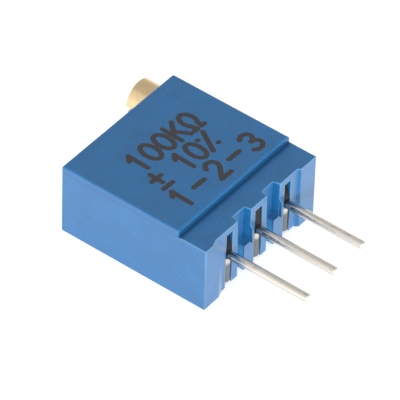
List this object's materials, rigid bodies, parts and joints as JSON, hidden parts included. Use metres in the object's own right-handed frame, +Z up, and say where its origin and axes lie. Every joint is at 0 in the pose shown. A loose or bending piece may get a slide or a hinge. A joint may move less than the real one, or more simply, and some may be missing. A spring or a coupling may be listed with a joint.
{
  "type": "trimmer potentiometer",
  "caption": "Square sealed multi-turn trimmer potentiometer: blue moulded case on its large face, slotted brass adjusting screw at one edge, round wire pins in a row at the other.",
  "frame": {"origin": "middle of the underside: halfway across the case, and halfway between its back face and the plane of its standoffs", "axes": "+X along the pin row, +Y towards the screw end, pins point to -Y, +Z up through the raised land"},
  "size_m": [0.0096, 0.0163, 0.0047],
  "materials": {
    "blue_moulding": "blue thermoset moulding, satin from the mould",
    "brass": "turned, unplated",
    "seal_rubber": "matt",
    "spring_steel": "stamped strip",
    "rotor_moulding": "natural nylon",
    "contact_bronze": "rolled strip",
    "alumina": "fired, matt",
    "cermet_film": "fired film",
    "silver_film": "fired silver film",
    "potting_resin": "poured, self-levelled",
    "tinned_wire": "hot tinned, drawn",
    "solder": "reflowed"
  },
  "bodies": {
    "case": {"housing": "blue_moulding", "screw_clip": "spring_steel", "substrate": "alumina", "resistive_track": "cermet_film", "collector_track": "silver_film", "end_lead_1": "silver_film", "end_lead_3": "silver_film", "seal_resin": "potting_resin", "pin_1": "tinned_wire", "pin_2": "tinned_wire", "pin_3": "tinned_wire", "solder_1": "solder", "solder_2": "solder", "solder_3": "solder"},
    "screw": {"adjust_screw": "brass", "screw_o_ring": "seal_rubber"},
    "wheel": {"rotor": "rotor_moulding", "wiper": "contact_bronze"}
  },
  "joints": [
    {"name": "screw_turn", "type": "hinge", "parent": "case", "child": "screw", "pos_m": [0.00352, 0.00488, 0.00315], "axis": [0, 1, 0], "range_deg": [-3920, 3920]},
    {"name": "wheel_turn", "type": "hinge", "parent": "case", "child": "wheel", "pos_m": [0, 0.00068, 0.00315], "axis": [0, 0, 1], "range_deg": [-141, 141]}
  ],
  "couplings": [
    {"joint": "wheel_turn", "follows": "screw_turn", "ratio": -0.035714}
  ]
}
